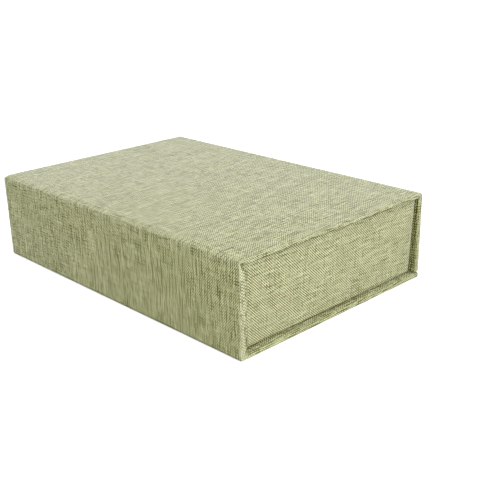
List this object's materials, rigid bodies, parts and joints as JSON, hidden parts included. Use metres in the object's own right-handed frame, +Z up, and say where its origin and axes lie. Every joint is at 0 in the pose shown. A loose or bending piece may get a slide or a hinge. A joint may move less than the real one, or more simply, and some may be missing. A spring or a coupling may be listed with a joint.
{
  "type": "photo storage box",
  "caption": "Clamshell photo storage box: a cloth-covered board tray in a wrap-round case with a hinged lid and a front flap that closes on hidden magnets.",
  "frame": {"origin": "on the table, under the middle of the closed box", "axes": "+X along the box's length, +Y towards the spine, +Z up"},
  "size_m": [0.175, 0.12, 0.043],
  "materials": {
    "book_cloth": "matt sage-green linen weave",
    "greyboard": "raw grey board",
    "lining_paper": "matt ivory paper",
    "kraft_tape": "gummed kraft paper",
    "nickel_plate": "bright nickel plate"
  },
  "bodies": {
    "tray_and_base": {"base_board": "greyboard", "base_cover_cloth": "book_cloth", "base_fold_cloth": "book_cloth", "spine_board": "greyboard", "spine_cover_cloth": "book_cloth", "lid_hinge_cloth": "book_cloth", "lid_hinge_inner_strip": "book_cloth", "tray_floor_board": "greyboard", "tray_left_wall": "greyboard", "tray_right_wall": "greyboard", "tray_front_wall": "greyboard", "tray_back_wall": "greyboard", "corner_tape_front_left": "kraft_tape", "corner_tape_front_right": "kraft_tape", "corner_tape_back_left": "kraft_tape", "corner_tape_back_right": "kraft_tape", "tray_cover_cloth": "book_cloth", "tray_wall_lining": "lining_paper", "tray_floor_lining": "lining_paper", "tray_magnet_left": "nickel_plate", "tray_magnet_right": "nickel_plate"},
    "lid": {"lid_board": "greyboard", "lid_cover_cloth": "book_cloth", "lid_lining": "lining_paper", "flap_hinge_cloth": "book_cloth", "flap_hinge_inner_strip": "book_cloth"},
    "flap": {"flap_board": "greyboard", "flap_cover_cloth": "book_cloth", "flap_lining": "lining_paper", "flap_magnet_left": "nickel_plate", "flap_magnet_right": "nickel_plate"}
  },
  "joints": [
    {"name": "lid_hinge", "type": "hinge", "parent": "tray_and_base", "child": "lid", "pos_m": [0, 0.05925, 0.04225], "axis": [-1, 0, 0], "range_deg": [0, 178], "deforming": ["lid_hinge_cloth", "lid_hinge_inner_strip"]},
    {"name": "flap_hinge", "type": "hinge", "parent": "lid", "child": "flap", "pos_m": [0, -0.05925, 0.04225], "axis": [-1, 0, 0], "range_deg": [0, 178], "deforming": ["flap_hinge_cloth", "flap_hinge_inner_strip"]}
  ]
}
